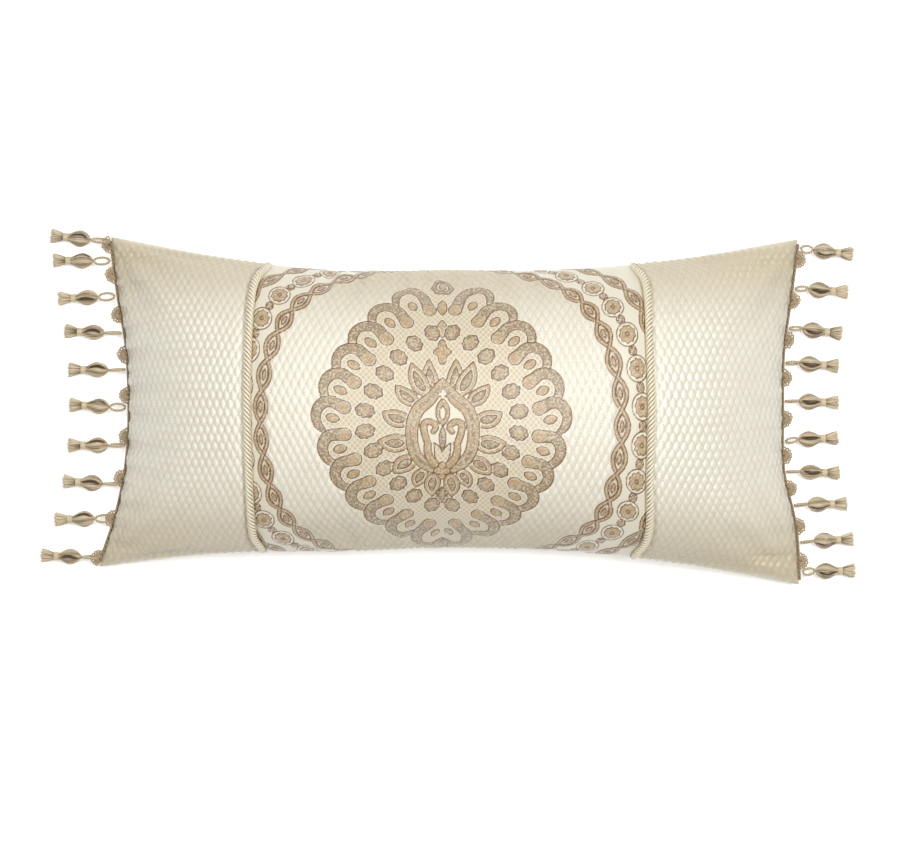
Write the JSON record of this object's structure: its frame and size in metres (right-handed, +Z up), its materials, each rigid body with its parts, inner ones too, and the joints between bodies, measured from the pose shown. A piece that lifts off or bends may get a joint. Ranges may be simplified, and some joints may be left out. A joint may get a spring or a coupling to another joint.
{
  "type": "throw pillow",
  "caption": "Rectangular throw pillow with a quilted, embroidered front, twisted cords over its two front seams and a tasselled fringe along both short sides.",
  "frame": {"origin": "on the surface that the pillow lies on, under the middle of the whole object, tassels included", "axes": "+X along the length towards the pillow's right side, +Y towards its top edge, +Z up out of the embroidered front"},
  "size_m": [0.6286, 0.2756, 0.1221],
  "materials": {
    "embroidered_cloth": "satin",
    "quilted_satin": "satin",
    "plain_satin": "satin",
    "cord": "satin",
    "fringe": "satin",
    "floss": "satin",
    "ticking": "matte",
    "fibre": "matte"
  },
  "bodies": {
    "pillow": {"front_centre_panel": "embroidered_cloth", "front_left_panel": "quilted_satin", "front_right_panel": "quilted_satin", "back_panel": "plain_satin", "twisted_cord_left": "cord", "twisted_cord_right": "cord", "cord_lip_left": "cord", "cord_lip_right": "cord", "fringe_tape_left": "fringe", "fringe_tape_right": "fringe", "insert_front_ticking": "ticking", "insert_back_ticking": "ticking", "fibre_filling": "fibre"},
    "hanging_left_01": {"loop_left_01": "fringe", "tassel_left_01": "floss"},
    "hanging_left_02": {"loop_left_02": "fringe", "tassel_left_02": "floss"},
    "hanging_left_03": {"loop_left_03": "fringe", "tassel_left_03": "floss"},
    "hanging_left_04": {"loop_left_04": "fringe", "tassel_left_04": "floss"},
    "hanging_left_05": {"loop_left_05": "fringe", "tassel_left_05": "floss"},
    "hanging_left_06": {"loop_left_06": "fringe", "tassel_left_06": "floss"},
    "hanging_left_07": {"loop_left_07": "fringe", "tassel_left_07": "floss"},
    "hanging_left_08": {"loop_left_08": "fringe", "tassel_left_08": "floss"},
    "hanging_left_09": {"loop_left_09": "fringe", "tassel_left_09": "floss"},
    "hanging_left_10": {"loop_left_10": "fringe", "tassel_left_10": "floss"},
    "hanging_right_01": {"loop_right_01": "fringe", "tassel_right_01": "floss"},
    "hanging_right_02": {"loop_right_02": "fringe", "tassel_right_02": "floss"},
    "hanging_right_03": {"loop_right_03": "fringe", "tassel_right_03": "floss"},
    "hanging_right_04": {"loop_right_04": "fringe", "tassel_right_04": "floss"},
    "hanging_right_05": {"loop_right_05": "fringe", "tassel_right_05": "floss"},
    "hanging_right_06": {"loop_right_06": "fringe", "tassel_right_06": "floss"},
    "hanging_right_07": {"loop_right_07": "fringe", "tassel_right_07": "floss"},
    "hanging_right_08": {"loop_right_08": "fringe", "tassel_right_08": "floss"},
    "hanging_right_09": {"loop_right_09": "fringe", "tassel_right_09": "floss"},
    "hanging_right_10": {"loop_right_10": "fringe", "tassel_right_10": "floss"}
  },
  "joints": [
    {"name": "swing_left_01", "type": "hinge", "parent": "pillow", "child": "hanging_left_01", "pos_m": [-0.26416, 0.12699, 0.01115], "axis": [0.1045, 0.9945, 0], "range_deg": [0, 105]},
    {"name": "swing_left_02", "type": "hinge", "parent": "pillow", "child": "hanging_left_02", "pos_m": [-0.2621, 0.11151, 0.01182], "axis": [0.0175, 0.9998, 0], "range_deg": [0, 105]},
    {"name": "swing_left_03", "type": "hinge", "parent": "pillow", "child": "hanging_left_03", "pos_m": [-0.25822, 0.0842, 0.01278], "axis": [-0.0349, 0.9994, 0], "range_deg": [0, 105]},
    {"name": "swing_left_04", "type": "hinge", "parent": "pillow", "child": "hanging_left_04", "pos_m": [-0.2533, 0.05598, 0.01348], "axis": [0.0349, 0.9994, 0], "range_deg": [0, 105]},
    {"name": "swing_left_05", "type": "hinge", "parent": "pillow", "child": "hanging_left_05", "pos_m": [-0.25044, 0.02775, 0.01389], "axis": [0, 1, 0], "range_deg": [0, 105]},
    {"name": "swing_left_06", "type": "hinge", "parent": "pillow", "child": "hanging_left_06", "pos_m": [-0.24968, -0.00138, 0.014], "axis": [0.0523, 0.9986, 0], "range_deg": [0, 105]},
    {"name": "swing_left_07", "type": "hinge", "parent": "pillow", "child": "hanging_left_07", "pos_m": [-0.25057, -0.03051, 0.01379], "axis": [0, 1, 0], "range_deg": [0, 105]},
    {"name": "swing_left_08", "type": "hinge", "parent": "pillow", "child": "hanging_left_08", "pos_m": [-0.25466, -0.06055, 0.01324], "axis": [0.0523, 0.9986, 0], "range_deg": [0, 105]},
    {"name": "swing_left_09", "type": "hinge", "parent": "pillow", "child": "hanging_left_09", "pos_m": [-0.26092, -0.08696, 0.01249], "axis": [-0.0175, 0.9998, 0], "range_deg": [0, 105]},
    {"name": "swing_left_10", "type": "hinge", "parent": "pillow", "child": "hanging_left_10", "pos_m": [-0.27124, -0.117, 0.01131], "axis": [0.0349, 0.9994, 0], "range_deg": [0, 105]},
    {"name": "swing_right_01", "type": "hinge", "parent": "pillow", "child": "hanging_right_01", "pos_m": [0.27285, 0.12102, 0.01131], "axis": [-0.1045, -0.9945, 0], "range_deg": [0, 105]},
    {"name": "swing_right_02", "type": "hinge", "parent": "pillow", "child": "hanging_right_02", "pos_m": [0.26876, 0.09051, 0.01246], "axis": [-0.0698, -0.9976, 0], "range_deg": [0, 105]},
    {"name": "swing_right_03", "type": "hinge", "parent": "pillow", "child": "hanging_right_03", "pos_m": [0.26433, 0.06001, 0.01329], "axis": [-0.1045, -0.9945, 0], "range_deg": [0, 105]},
    {"name": "swing_right_04", "type": "hinge", "parent": "pillow", "child": "hanging_right_04", "pos_m": [0.26156, 0.03331, 0.01375], "axis": [-0.0698, -0.9976, 0], "range_deg": [0, 105]},
    {"name": "swing_right_05", "type": "hinge", "parent": "pillow", "child": "hanging_right_05", "pos_m": [0.26126, 0.00376, 0.01399], "axis": [-0.0349, -0.9994, 0], "range_deg": [0, 105]},
    {"name": "swing_right_06", "type": "hinge", "parent": "pillow", "child": "hanging_right_06", "pos_m": [0.26105, -0.02676, 0.01392], "axis": [0.0523, -0.9986, 0], "range_deg": [0, 105]},
    {"name": "swing_right_07", "type": "hinge", "parent": "pillow", "child": "hanging_right_07", "pos_m": [0.26225, -0.05059, 0.01364], "axis": [-0.0349, -0.9994, 0], "range_deg": [0, 105]},
    {"name": "swing_right_08", "type": "hinge", "parent": "pillow", "child": "hanging_right_08", "pos_m": [0.268, -0.07633, 0.01313], "axis": [0.0175, -0.9998, 0], "range_deg": [0, 105]},
    {"name": "swing_right_09", "type": "hinge", "parent": "pillow", "child": "hanging_right_09", "pos_m": [0.27291, -0.10493, 0.0123], "axis": [0.0523, -0.9986, 0], "range_deg": [0, 105]},
    {"name": "swing_right_10", "type": "hinge", "parent": "pillow", "child": "hanging_right_10", "pos_m": [0.27422, -0.12782, 0.01144], "axis": [0.0175, -0.9998, 0], "range_deg": [0, 105]}
  ]
}
